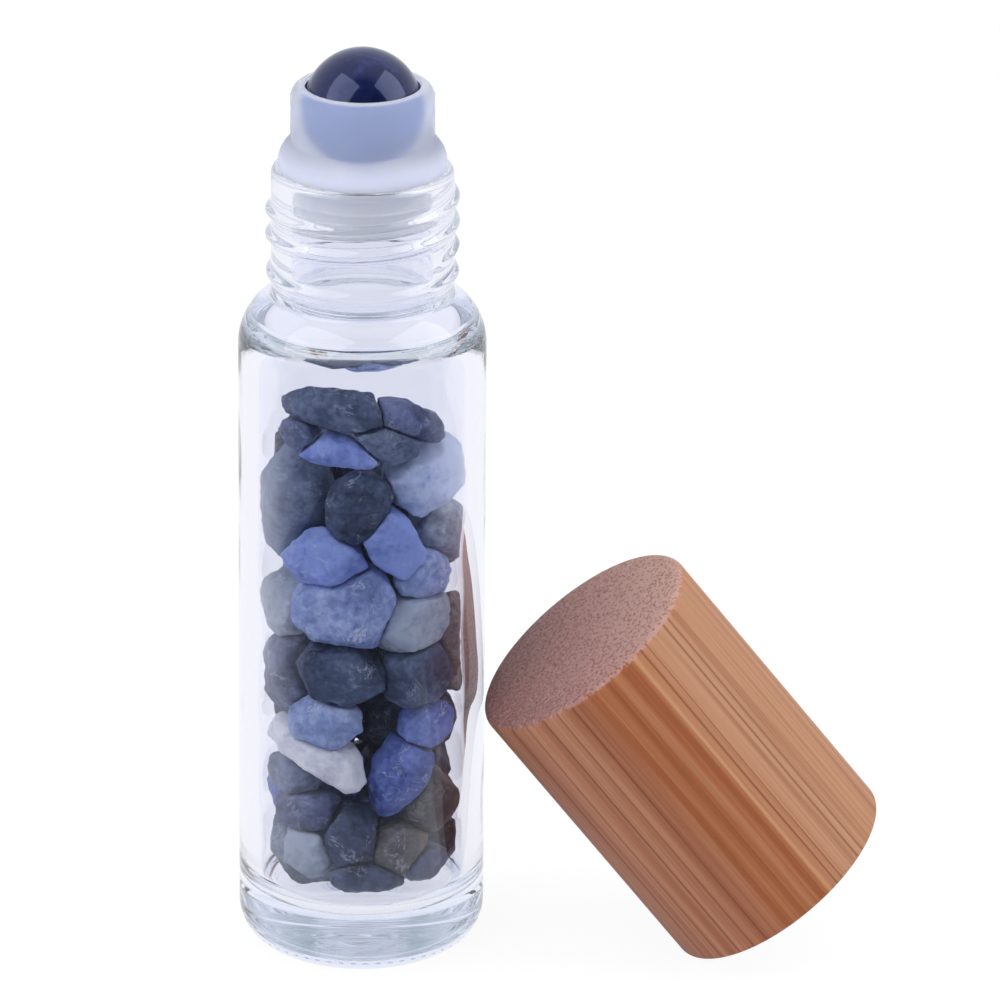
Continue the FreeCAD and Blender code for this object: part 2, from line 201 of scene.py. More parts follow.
def addStage():
    bpy.ops.mesh.primitive_plane_add(size=stageSizes["floorWidth"], location=(0, 0, -stageSizes["floorGap"]))
    floor = bpy.context.object
    floor.name = "floor"
    material, place = newMaterial("pale_floor")
    paths = seenPaths(place)
    plain = place.node("BsdfDiffuse", {}, {"Color": stageSizes["floorColour"]})
    glow = 1 + paths["straight"] * stageSizes["floorOver"]
    white = place.node("Emission", {}, {"Color": (1, 1, 1), "Strength": glow})
    dim = place.node("Emission", {}, {"Color": stageSizes["floorTone"], "Strength": 1.0})
    bright = place.node("MixShader", {}, {0: paths["seen"] * stageSizes["floorGlow"], 1: plain, 2: white})
    depth = place.node("SeparateXYZ", {}, {0: place}, "Y")
    front = (1 - depth.between(*stageSizes["mirroredFloor"])) * paths["mirrored"]
    front = front + (1 - depth.between(*stageSizes["passedFloor"])) * paths["through"]
    place.show(place.node("MixShader", {}, {0: front, 1: bright, 2: dim}))
    floor.data.materials.append(material)

    for name, box in softBoxes.items():
        towards = Vector(box["towards"]).normalized()
        centre = Vector((0, 0, stageSizes["middle"]))
        turn = towards.to_track_quat("Z", "Y").to_euler()
        bpy.ops.object.light_add(type="AREA", location=centre + towards * box["away"], rotation=turn)
        lamp = bpy.context.object
        lamp.name = "soft_box_" + name
        lamp.data.size = box["size"]
        lamp.data.energy = box["power"]
        lamp.data.color = stageSizes["lampColour"]
        lamp.visible_transmission = False

    world = bpy.data.worlds.new("pale_room")
    bpy.context.scene.world = world
    world.use_nodes = True
    world.node_tree.nodes.clear()
    start = Wire(world.node_tree)
    paths = seenPaths(start)
    direction = start.node("TexCoord", {}, {}, "Generated")
    toCamera = (Vector(view["place"]) - Vector((0, 0, stageSizes["middle"]))).normalized()
    near = start.node("VectorMath", {"operation": "DOT_PRODUCT"}, {0: direction, 1: toCamera}, "Value")
    tone = paths["through"].blend(stageSizes["frontTone"], stageSizes["throughTone"])
    front = near.between(*stageSizes["frontReach"]) * (paths["mirrored"] + paths["through"])
    shown = front.blend(stageSizes["roomWhite"], tone)
    colour = paths["seen"].blend(stageSizes["roomColour"], shown)
    strength = (1 - paths["again"]) * stageSizes["roomLight"] + paths["seen"] * (1 - stageSizes["roomLight"])
    light = start.node("Background", {}, {"Color": colour, "Strength": strength})
    start.node("OutputWorld", {}, {0: light})
    bounces = bpy.context.scene.cycles
    bounces.max_bounces = bounces.glossy_bounces = bounces.transmission_bounces = stageSizes["bounces"]


# tools for turned pieces
weldGap = 0.002 * mm


def openMesh(name):
    bpy.ops.object.select_all(action="DESELECT")
    bpy.ops.mesh.primitive_plane_add(size=1 * mm)
    piece = bpy.context.object
    piece.name = name
    piece.data.name = name
    bpy.ops.object.mode_set(mode="EDIT")
    bpy.ops.mesh.select_all(action="SELECT")
    return piece


# corners are (radius, level), or (radius, level, centre radius, centre level) at the end of an arc
def turnProfile(name, corners, columns, arcStep=7.5):
    piece = openMesh(name)
    bpy.ops.mesh.merge(type="CENTER")
    bpy.ops.transform.translate(value=(corners[0][0], 0, corners[0][1]))
    spot = Vector((corners[0][0], corners[0][1]))
    for corner in corners[1:]:
        end = Vector(corner[:2])
        if len(corner) == 2:
            step = end - spot
            bpy.ops.mesh.extrude_vertices_move(TRANSFORM_OT_translate={"value": (step.x, 0, step.y)})
        else:
            centre = Vector(corner[2:])
            angle = (end - centre).angle_signed(spot - centre)     # spin turns against the clock here
            steps = max(2, round(abs(math.degrees(angle)) / arcStep))
            bpy.ops.mesh.spin(steps=steps, angle=angle, center=(centre.x, 0, centre.y), axis=(0, 1, 0))
        spot = end
    bpy.ops.mesh.select_all(action="SELECT")
    bpy.ops.mesh.spin(steps=columns, angle=2 * math.pi, center=(0, 0, 0), axis=(0, 0, 1))
    return piece


# centre of an arc that turns left (side 1) or right (side -1) from start to end
def arcCentre(start, end, radius, side):
    first, last = Vector(start), Vector(end)
    half = (last - first) / 2
    across = Vector((-half.y, half.x)).normalized() * side
    return first + half + across * math.sqrt(max(radius ** 2 - half.length_squared, 0))


def closeMesh(smoothAngle=None):
    bpy.ops.mesh.select_all(action="SELECT")
    bpy.ops.mesh.remove_doubles(threshold=weldGap)
    bpy.ops.mesh.delete_loose()
    bpy.ops.mesh.select_all(action="SELECT")
    bpy.ops.mesh.normals_make_consistent(inside=False)
    bpy.ops.object.mode_set(mode="OBJECT")
    if smoothAngle is None:
        bpy.ops.object.shade_smooth()
    else:
        bpy.ops.object.shade_smooth_by_angle(angle=math.radians(smoothAngle))


def dress(piece, material, body, slot, *nodes):
    piece.data.materials.clear()
    piece.data.materials.append(material)
    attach(piece, body)
    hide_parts(*nodes)


# rows of points between two levels of one profile run
def rows(radius, low, high, count):
    return [(radius, low + (high - low) * row / count) for row in range(1, count + 1)]


# points from a radius in to the middle, on one level
def discRows(radius, level):
    return [(radius * share, level) for share in (0.8, 0.6, 0.4, 0.2, 0)]


# glass bottle: the outer form of its solid, with thread, bead and stipple, and an inner shoulder like a lens
glassBottle = {
    "wall": 1.6 * mm,
    "floor": 5.0 * mm,
    "wallTop": 51.9 * mm,
    "heel": 3.6 * mm,
    "innerHeel": 2.4 * mm,
    "bearing": 1.9 * mm,
    "pushUp": 0.5 * mm,
    "pushUpKnee": (0.6, 0.66),             # share of its radius and of its depth
    "shoulder": 5.0 * mm,
    "throatRound": 0.5 * mm,
    "throatLevel": 56.6 * mm,
    "crown": (7.1 * mm, 55.7 * mm),        # under the neck, where the inner shoulder starts
    "fillet": 0.5 * mm,
    "filletTurn": 49,                      # degrees above level at its upper end
    "widening": (52.2 * mm, 54.1 * mm),    # levels between which the inner wall widens
    "widerBy": 0.50 * mm,
    "bore": 5.7 * mm,
    "neck": 7.35 * mm,
    "neckHeight": 10.5 * mm,
    "rimRound": 0.5 * mm,
    "beadFoot": 1.05 * mm,
    "beadWidth": 1.5 * mm,
    "beadProud": 0.4 * mm,
    "beadCurve": 1.5,
    "threadProud": 0.45 * mm,
    "threadHalf": 0.78 * mm,
    "threadPitch": 2.1 * mm,
    "threadLevel": 64.4 * mm,              # crest at +X
    "threadTurns": (-2.1, 0.3),
    "threadFade": 0.11,                    # of a turn at each end
    "wave": 0.07 * mm,                     # unevenness of the inner wall
    "waveSize": 7 * mm,
    "waveFine": (2.3, 0.4),                # times as fine, and its share
    "waveFade": 4 * mm,                    # under the widening
    "waveStart": (9, 4, 2),                # of the floor's unevenness
    "slack": 0.02 * mm,
    "floorSlack": 0.1 * mm,
    "dots": 58,
    "dotRadius": 0.24 * mm,
    "dotProud": 0.10 * mm,
    "dotRing": 9.28 * mm,
    "dotBand": 1.0 * mm,                   # height of the close rows under the dots
    "dotZone": (8 * mm, 2.4 * mm),         # least radius and highest level
    "columns": 288,
    "wallRows": 12,
    "neckRows": 64,
    "boreRows": 6,
    "wideningRows": 20,
    "cavityRows": 40,
    "dotRows": 12,
    "arcStep": 5,                          # degrees
    "colour": (0.915, 0.922, 0.992),
    "haze": (2.5 * mm, 0.012),             # size and greatest roughness
    "hazeRange": (0.35, 0.8),
    "ior": 1.5,
    "inside": (0.60, 0.70, 0.74),          # long ways through the glass turn grey-green
    "density": 7,
}


def glassMaterial():
    finish = glassBottle
    material, place = newMaterial("clear_glass")
    size, roughest = finish["haze"]
    haze = place.cloud(size, 2).between(*finish["hazeRange"])
    clear = place.surface(baseColor=finish["colour"], roughness=haze * roughest, transmissionWeight=1.0,
                          ior=finish["ior"])
    inside = place.node("VolumeAbsorption", {}, {"Color": finish["inside"], "Density": finish["density"]})
    place.show(clear, inside)
    return material


# height of the thread's ridge at a turn (0 at +X, in whole turns) and level
def threadRise(turn, level):
    size = glassBottle
    first, last = size["threadTurns"]
    rise = 0.0
    for whole in range(math.floor(first), math.ceil(last) + 1):
        along = turn + whole
        if not first < along < last:
            continue
        off = (level - size["threadLevel"] - size["threadPitch"] * along) / size["threadHalf"]
        if abs(off) < 1:
            fade = min(1, (along - first) / size["threadFade"], (last - along) / size["threadFade"])
            rise = max(rise, fade * math.cos(off * math.pi / 2) ** 2)
    return rise * size["threadProud"]


def shapeGlass(piece, shoulderTop, rim):
    size = glassBottle
    beadLow = shoulderTop + size["beadFoot"]
    innerReach = bodyRadius - size["wall"] + size["slack"]
    waveTop = size["widening"][0]
    finer, fineShare = size["waveFine"]
    for point in piece.data.vertices:
        place = point.co
        out = math.hypot(place.x, place.y)
        if out < size["slack"]:
            continue
        spoke = Vector((place.x / out, place.y / out, 0))
        push = 0.0
        if out > size["neck"] - size["slack"] and shoulderTop < place.z < rim - size["rimRound"]:
            push = threadRise(math.atan2(place.y, place.x) / (2 * math.pi), place.z)
            across = (place.z - beadLow) / size["beadWidth"]
            if 0 < across < 1:
                push = max(push, size["beadProud"] * math.sin(across * math.pi) ** size["beadCurve"])
        inside = out < innerReach and size["floor"] - size["floorSlack"] < place.z < waveTop
        if inside:
            swing = noise.noise(place / size["waveSize"])
            swing += fineShare * noise.noise(place * finer / size["waveSize"])
            hold = min(1, (waveTop - place.z) / size["waveFade"])
            push = -size["wave"] * max(0, 0.5 + swing) * hold
        place += spoke * push
        if inside and place.z < size["floor"] + size["floorSlack"]:
            swing = noise.noise(place / size["waveSize"] + Vector(size["waveStart"]))
            place.z -= size["wave"] * max(0, 0.5 + swing)


# stipple: small domes pressed round the heel
def addDots(piece):
    size = glassBottle
    reach = size["dotRing"] - (bodyRadius - size["heel"])
    lift = math.sqrt(size["heel"] ** 2 - reach ** 2)
    level = size["heel"] - lift
    leastRadius, highest = size["dotZone"]
    for point in piece.data.vertices:
        place = point.co
        out = math.hypot(place.x, place.y)
        if place.z > highest or out < leastRadius:
            continue
        share = math.atan2(place.y, place.x) / (2 * math.pi) * size["dots"]
        around = (share - round(share)) * 2 * math.pi * out / size["dots"]
        up = math.hypot(place.z - level, out - size["dotRing"])
        near = math.hypot(around, up) / size["dotRadius"]
        if near < 1:
            outward = Vector((place.x * reach / out, place.y * reach / out, -lift))
            place -= outward.normalized() * size["dotProud"] * math.cos(near * math.pi / 2) ** 2


def makeGlass():
    size = glassBottle
    innerRadius = bodyRadius - size["wall"]
    shoulderCentre = bodyRadius - size["shoulder"]
    shoulderTop = size["wallTop"] + math.sqrt(size["shoulder"] ** 2 - (size["neck"] - shoulderCentre) ** 2)
    rim = shoulderTop + size["neckHeight"]
    neckEnd = rim - size["rimRound"]
    throat = size["bore"] + size["throatRound"]
    # inner shoulder: the wall widens, and a small fillet turns it in to the crown
    low, high = size["widening"]
    wideRadius = innerRadius + size["widerBy"]
    slope = math.atan(2 * size["widerBy"] / (high - low))
    fillet = size["fillet"]
    upper = math.radians(size["filletTurn"])
    filletCentre = (wideRadius - fillet * math.cos(slope), high + fillet * math.sin(slope))
    filletTop = (filletCentre[0] + fillet * math.cos(upper), filletCentre[1] + fillet * math.sin(upper))
    widening = []
    for step in range(1, size["wideningRows"] + 1):
        share = 1 - step / size["wideningRows"]
        widening.append((innerRadius + size["widerBy"] * share ** 2, low + (high - low) * share))
    # heel: close rows where the dots are
    flat = bodyRadius - size["heel"]
    pushUpRadius = flat - size["bearing"]
    kneeOut, kneeUp = size["pushUpKnee"]
    dotLevel = size["heel"] - math.sqrt(size["heel"] ** 2 - (size["dotRing"] - flat) ** 2)
    heelRows = []
    for step in range(size["dotRows"] + 1):
        level = dotLevel + size["dotBand"] * (step / size["dotRows"] - 0.5)
        heelRows.append((flat + math.sqrt(size["heel"] ** 2 - (size["heel"] - level) ** 2), level))
    corners = [
        (0, size["pushUp"]),
        (pushUpRadius * kneeOut, size["pushUp"] * kneeUp),
        (pushUpRadius, 0),
        (flat, 0),
        (*heelRows[0], flat, size["heel"]),
        *heelRows[1:],
        (bodyRadius, size["heel"], flat, size["heel"]),
        *rows(bodyRadius, size["heel"], size["wallTop"], size["wallRows"]),
        (size["neck"], shoulderTop, shoulderCentre, size["wallTop"]),
        *rows(size["neck"], shoulderTop, neckEnd, size["neckRows"]),
        (size["neck"] - size["rimRound"], rim, size["neck"] - size["rimRound"], neckEnd),
        (size["bore"] + size["rimRound"], rim),
        (size["bore"], neckEnd, size["bore"] + size["rimRound"], neckEnd),
        *rows(size["bore"], neckEnd, size["throatLevel"] + size["throatRound"], size["boreRows"]),
        (throat, size["throatLevel"], throat, size["throatLevel"] + size["throatRound"]),
        size["crown"],
        filletTop,
        (wideRadius, high, *filletCentre),
        *widening,
        *rows(innerRadius, low, size["floor"] + size["innerHeel"], size["cavityRows"]),
        (innerRadius - size["innerHeel"], size["floor"], innerRadius - size["innerHeel"],
         size["floor"] + size["innerHeel"]),
        *discRows(innerRadius - size["innerHeel"], size["floor"]),
    ]
    piece = turnProfile("clear_bottle", corners, size["columns"], size["arcStep"])
    closeMesh()
    shapeGlass(piece, shoulderTop, rim)
    addDots(piece)
    piece.visible_shadow = False
    dress(piece, glassMaterial(), "bottle", "clear_glass", "glass_bottle")
    print("bottle:", len(piece.data.polygons), "faces")


# stone chips: tumbled copies of the cut solids
stoneFill = {
    "weld": 0.005 * mm,
    "flatten": 2,                          # degrees between faces that are one facet
    "voxel": 0.20 * mm,
    "smoothing": (0.5, 5),                 # strength and times
    # name, size, height and middle level
    "uneven": (("lumps", 2.4 * mm, 0.50 * mm, 0.60), ("pits", 0.6 * mm, 0.13 * mm, 0.55)),
    # how light each stone in front is, from 0 to 1
    "shades": (0.40, 0.62, 0.60, 0.75, 0.75, 0.92, 0.85, 0.42, 0.88, 0.88, 0.55, 0.50, 0.80, 0.50, 0.85, 0.85,
               0.50, 0.36, 0.48, 0.55, 0.92, 0.60, 0.38, 0.70, 0.50, 0.75, 0.36, 0.65, 0.48, 0.65, 0.42),
    # stones behind the front ones are darker: partly their own tone, partly painted shade for the dark gaps
    # between the front stones
    "backShade": 0.35,
    # dark, middle and light colours, share of white veins
    "tones": {
        "slate": ((0.014, 0.022, 0.050), (0.072, 0.098, 0.180), (0.200, 0.250, 0.380), 0.40),
        "blue": ((0.034, 0.054, 0.220), (0.125, 0.185, 0.510), (0.290, 0.380, 0.780), 0.55),
        "pale": ((0.100, 0.145, 0.330), (0.280, 0.365, 0.650), (0.580, 0.670, 0.920), 0.75),
        "grey": ((0.080, 0.102, 0.148), (0.210, 0.258, 0.360), (0.430, 0.490, 0.590), 0.50),
        "ivory": ((0.300, 0.290, 0.370), (0.560, 0.560, 0.670), (0.900, 0.900, 0.940), 0.30),
        "brown": ((0.018, 0.018, 0.028), (0.080, 0.075, 0.092), (0.270, 0.240, 0.230), 0.50),
        "indigo": ((0.010, 0.014, 0.050), (0.070, 0.088, 0.185), (0.200, 0.240, 0.420), 0.40),
    },
    "stops": (0.34, 0.50, 0.68),           # where those colours stand
    "shadeReach": 0.40,
    "broad": (3.4 * mm, 0.62),             # size and share of the cloudy tones
    "fine": (0.55 * mm, 0.38),
    "apart": 7 * mm,                       # keeps the patterns of two kinds of stone apart
    "veinColour": (0.66, 0.70, 0.82),
    "veinSize": 3.0 * mm,
    "veinThin": 4200,
    "patches": (1.9 * mm, (0.48, 0.66)),   # size and range of what has veins
    "flecks": (0.32 * mm, (0.58, 0.70), 0.6),
    "pitSize": 0.22 * mm,
    "relief": (0.6, 0.4),                  # shares of fine tones and pits
    "rough": (0.34, 0.3),
    "bump": (0.6, 0.14 * mm),
    "ior": 1.45,
    "shine": 0.3,
}


def stoneMaterial(family):
    finish = stoneFill
    *colours, veins = finish["tones"][family]
    material, place = newMaterial(family + "_stone")
    shifted = place.moved(place=(len(family) * finish["apart"], ord(family[0]) * mm, 0))
    broadSize, broadShare = finish["broad"]
    fineSize, fineShare = finish["fine"]
    broad = shifted.cloud(broadSize, 3, 0.55, 0.6)
    fine = shifted.cloud(fineSize, 5, 0.65)
    shade = place.node("Attribute", {"attribute_name": "shade"}, {}, "Fac")
    tone = broad * broadShare + fine * fineShare + (shade - 0.5) * finish["shadeReach"]
    colour = tone.ramp(*zip(finish["stops"], colours))
    # thin veins and small flecks, in patches
    line = shifted.cloud(finish["veinSize"], 5, 0.65, 0.8) - 0.5
    thread = 1 - (line * line * finish["veinThin"]).between(0.0, 1.0)
    patchSize, patchRange = finish["patches"]
    patchy = shifted.cloud(patchSize, 3).between(*patchRange)
    fleckSize, fleckRange, fleckShare = finish["flecks"]
    flecks = shifted.cloud(fleckSize, 3, 0.7).between(*fleckRange) * patchy
    colour = (thread * patchy * veins).blend(colour, finish["veinColour"])
    colour = (flecks * veins * fleckShare).blend(colour, finish["veinColour"])
    pits = shifted.cloud(finish["pitSize"], 3, 0.6)
    smooth, rougher = finish["rough"]
    fineRelief, pitRelief = finish["relief"]
    uneven = (fine * fineRelief + pits * pitRelief).bump(*finish["bump"])
    place.show(place.surface(baseColor=colour, roughness=smooth + fine * rougher, normal=uneven,
                             ior=finish["ior"], specularIorLevel=finish["shine"]))
    return material


def makeChips():
    size = stoneFill
    strength, times = size["smoothing"]
    materials = {family: stoneMaterial(family) for family in size["tones"]}
    grains = []
    for kind, width, height, level in size["uneven"]:
        grain = bpy.data.textures.new("chip_" + kind, "CLOUDS")
        grain.noise_scale = width
        grain.noise_depth = 2
        grains.append((grain, height, level))
    for node in sorted(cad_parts):
        if not node.startswith("chip_"):
            continue
        family = node.split("_")[1]
        bpy.ops.object.select_all(action="DESELECT")
        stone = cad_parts[node].copy()
        stone.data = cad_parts[node].data.copy()
        stone.parent = None
        for key in list(stone.keys()):
            del stone[key]
        stone.name = node.replace("chip", "stone")
        bpy.context.collection.objects.link(stone)
        bpy.context.view_layer.objects.active = stone
        stone.select_set(True)
        bpy.ops.object.mode_set(mode="EDIT")
        bpy.ops.mesh.select_all(action="SELECT")
        bpy.ops.mesh.remove_doubles(threshold=size["weld"])
        bpy.ops.mesh.dissolve_limited(angle_limit=math.radians(size["flatten"]))
        bpy.ops.object.mode_set(mode="OBJECT")
        remesh = stone.modifiers.new("even", "REMESH")
        remesh.mode = "VOXEL"
        remesh.voxel_size = size["voxel"]
        soften = stone.modifiers.new("tumbled", "SMOOTH")
        soften.factor = strength
        soften.iterations = times
        for grain, height, level in grains:
            pitted = stone.modifiers.new(grain.name, "DISPLACE")
            pitted.texture = grain
            pitted.texture_coords = "LOCAL"
            pitted.strength = height
            pitted.mid_level = level
        for modifier in list(stone.modifiers):
            bpy.ops.object.modifier_apply(modifier=modifier.name)
        bpy.ops.object.shade_smooth()
        number = int(node.split("_")[2])
        # stones behind the front ones take the darker back value, partly painted shade
        light = size["shades"][number - 1] if number <= len(size["shades"]) else size["backShade"]
        shade = stone.data.attributes.new("shade", "FLOAT", "POINT")
        shade.data.foreach_set("value", [light] * len(stone.data.vertices))
        dress(stone, materials[family], "bottle", family + "_stone", node)


# roller housing: frosted moulding with a snap lip round the ball
rollerHousing = {
    "plugLength": 4.2 * mm,
    "plugRadius": 5.5 * mm,
    "plugWall": 1.1 * mm,
    "plugLead": 0.3 * mm,
    "ribRise": 0.16 * mm,
    "ribMargin": 0.9 * mm,
    "ribs": 3,
    "flange": 6.8 * mm,
    "flangeEdge": 0.6 * mm,
    "flangeRise": 2.4 * mm,
    "flangeDome": 2.6 * mm,
    "flangeBevel": 0.15 * mm,
    "cup": 5.78 * mm,
    "cupRound": 0.95 * mm,
    "cupDome": 1.25 * mm,
    "cupRows": 4,
    "lipEdge": 0.06 * mm,
    "lipRise": 1.35 * mm,
    "lipHeight": 0.55 * mm,
    "clearance": 0.05 * mm,
    "feed": 2.0 * mm,
    "seat": 0.7 * mm,
    "bevel": (0.12 * mm, 28),              # width, and least angle in degrees
    "columns": 160,
    "arcStep": 6,
    "frost": 0.35 * mm,
    "rough": (0.30, 0.12),
    "bump": (0.12, 0.05 * mm),
    "scatter": (0.9, 1.0, 1.2),
    "plugColour": (0.96, 0.965, 1.0),
    "plugScatter": 0.8 * mm,
    "plugFade": (-0.2 * mm, 0.4 * mm),     # from the rim
    "milky": ((0.76, 0.77, 0.96), (0.80, 0.81, 0.98)),
    "milkySize": 3.0 * mm,
    "milkyScatter": 1.3 * mm,
    "milkyClear": 0.25,
    "thinColour": (0.95, 0.965, 1.0),
    "thinRough": (0.62, 0.12),
    "thinClear": 0.86,
    "thinFrom": (67.4 * mm, 69.4 * mm),    # levels between which the wall turns thin
    "thinTo": (73.55 * mm, 73.8 * mm),
    "thinShare": 0.82,
    # the wall of the pocket round the ball is painted dark blue, as painted shade with a painted reflection
    # of the ball
    "pocketDepth": 0.15 * mm,              # from the ball to the wall of its pocket
    "pocket": ((0.12, 0.21, 0.50), (0.17, 0.27, 0.59)),
    "pocketSize": 1.5 * mm,
    "pocketRough": (0.4, 0.2),
    "ior": 1.3,
    "thinIor": 1.12,
}


def housingMaterial():
    finish = rollerHousing
    material, place = newMaterial("frosted_plastic")
    frost = place.cloud(finish["frost"], 3, 0.6)
    rough, thinRough, pocketRough = [
        least + frost * more for least, more in (finish["rough"], finish["thinRough"], finish["pocketRough"])]
    grainy = frost.bump(*finish["bump"])
    level = place.node("SeparateXYZ", {}, {0: place}, "Z")
    milky = place.cloud(finish["milkySize"], 2).blend(*finish["milky"])
    # colours of the painted shade and painted reflection in the ball's pocket
    paintedShadeColour = place.cloud(finish["pocketSize"], 3).blend(*finish["pocket"])
    moulded = {"normal": grainy, "roughness": rough, "ior": finish["ior"]}
    scattered = {"subsurfaceWeight": 1.0, "subsurfaceRadius": finish["scatter"]}
    solid = place.surface(baseColor=finish["plugColour"], subsurfaceScale=finish["plugScatter"],
                          **moulded, **scattered)
    thick = place.surface(baseColor=milky, subsurfaceScale=finish["milkyScatter"],
                          transmissionWeight=finish["milkyClear"], **moulded, **scattered)
    thin = place.surface(baseColor=finish["thinColour"], roughness=thinRough, normal=grainy,
                         ior=finish["thinIor"], transmissionWeight=finish["thinClear"])
    pocket = place.surface(baseColor=paintedShadeColour, roughness=pocketRough, ior=finish["ior"])
    # the plug is solid, the wall of the cup is thin, and the wall of the ball's pocket is painted dark blue:
    # painted shade with a painted reflection of the ball's blue
    aboveRim = level.between(*[rimLevel + step for step in finish["plugFade"]])
    onCup = level.between(*finish["thinFrom"]) * (1 - level.between(*finish["thinTo"]))
    # the painted shade covers the housing's surface out to this distance from the ball's middle
    toBall = place.node("VectorMath", {"operation": "DISTANCE"}, {0: place, 1: (0, 0, ballLevel)}, "Value")
    onPaintedShade = toBall < ballRadius + finish["pocketDepth"]
    outer = place.node("MixShader", {}, {0: aboveRim, 1: solid, 2: thick})
    outer = place.node("MixShader", {}, {0: onCup * finish["thinShare"], 1: outer, 2: thin})
    place.show(place.node("MixShader", {}, {0: onPaintedShade, 1: outer, 2: pocket}))
    return material


def makeHousing():
    size = rollerHousing
    rim = rimLevel
    lip = ballLevel + size["lipRise"]
    socket = ballRadius + size["clearance"]
    lipRadius = math.sqrt(socket ** 2 - size["lipRise"] ** 2)
    top = lip + size["lipHeight"]
    foot = rim - size["plugLength"]
    inner = size["plugRadius"] - size["plugWall"]
    ribs = []
    for rib in range(size["ribs"]):
        share = rib / (size["ribs"] - 1)
        level = foot + size["ribMargin"] + (size["plugLength"] - 2 * size["ribMargin"]) * share
        ribs += [(size["plugRadius"], level - size["ribRise"]), (size["plugRadius"] + size["ribRise"], level),
                 (size["plugRadius"], level + size["ribRise"])]
    edge = (size["flange"], rim + size["flangeEdge"])
    crown = (size["cup"], rim + size["flangeRise"])
    dome = arcCentre(edge, crown, size["flangeDome"], 1)
    brow = (size["cup"], top - size["cupRound"])
    lipTop = (lipRadius + size["lipEdge"], top)
    corners = [
        (inner, foot),
        (size["plugRadius"] - size["plugLead"], foot),
        (size["plugRadius"], foot + size["plugLead"]),
        *ribs,
        (size["plugRadius"], rim),
        (size["flange"] - size["flangeBevel"], rim),
        (size["flange"], rim + size["flangeBevel"]),
        edge,
        (*crown, *dome),
        *rows(size["cup"], crown[1], top - size["cupRound"], size["cupRows"]),
        (*lipTop, *arcCentre(brow, lipTop, size["cupDome"], 1)),
        (lipRadius, lip),
        (size["feed"], ballLevel - math.sqrt(socket ** 2 - size["feed"] ** 2), 0, ballLevel),
        (size["feed"], rim - size["seat"]),
        (inner, rim - size["seat"]),
        (inner, foot),
    ]
    piece = turnProfile("frosted_housing", corners, size["columns"], size["arcStep"])
    closeMesh()
    soft = piece.modifiers.new("moulded", "BEVEL")
    soft.width, angle = size["bevel"]
    soft.segments = 2
    soft.limit_method = "ANGLE"
    soft.angle_limit = math.radians(angle)
    bpy.ops.object.modifier_apply(modifier=soft.name)
    piece.visible_shadow = False
    dress(piece, housingMaterial(), "roller_insert", "frosted_plastic", "roller_housing")
    print("housing:", len(piece.data.polygons), "faces")


# stone ball, polished
rollerBall = {
    "start": 1.2,                          # side of the cube that is rounded, in ball radii
    "cuts": 47,
    "tones": ((0.34, (0.002, 0.003, 0.028)), (0.52, (0.006, 0.010, 0.058)), (0.66, (0.028, 0.035, 0.12)),
              (0.80, (0.14, 0.16, 0.31))),
    "broad": (3.2 * mm, 0.7),              # size and share of the cloudy tones
    "fine": (0.5 * mm, 0.3),
    "rough": (0.06, 0.05),
    "ior": 1.62,
    "mirrorTint": (0.62, 0.68, 1.0),
}


def ballMaterial():
    finish = rollerBall
    material, place = newMaterial("polished_stone")
    broadSize, broadShare = finish["broad"]
    fineSize, fineShare = finish["fine"]
    smooth, rougher = finish["rough"]
    broad = place.cloud(broadSize, 4, 0.6, 0.8)
    fine = place.cloud(fineSize, 4, 0.6)
    colour = (broad * broadShare + fine * fineShare).ramp(*finish["tones"])
    place.show(place.surface(baseColor=colour, roughness=smooth + fine * rougher, ior=finish["ior"],
                             specularTint=finish["mirrorTint"]))
    return material


def makeBall():
    bpy.ops.object.select_all(action="DESELECT")
    bpy.ops.mesh.primitive_cube_add(size=rollerBall["start"] * ballRadius, location=(0, 0, ballLevel))
    piece = bpy.context.object
    piece.name = "stone_ball"
    bpy.ops.object.mode_set(mode="EDIT")
    bpy.ops.mesh.select_all(action="SELECT")
    bpy.ops.mesh.subdivide(number_cuts=rollerBall["cuts"])
    bpy.ops.object.mode_set(mode="OBJECT")
    rounded = piece.modifiers.new("round", "CAST")
    rounded.factor = 1
    rounded.use_radius_as_size = False
    rounded.size = ballRadius
    bpy.ops.object.modifier_apply(modifier=rounded.name)
    bpy.ops.object.transform_apply(location=True, rotation=True, scale=True)
    bpy.ops.object.shade_smooth()
    dress(piece, ballMaterial(), "ball", "polished_stone", "roller_ball")
    print("ball:", len(piece.data.polygons), "faces")


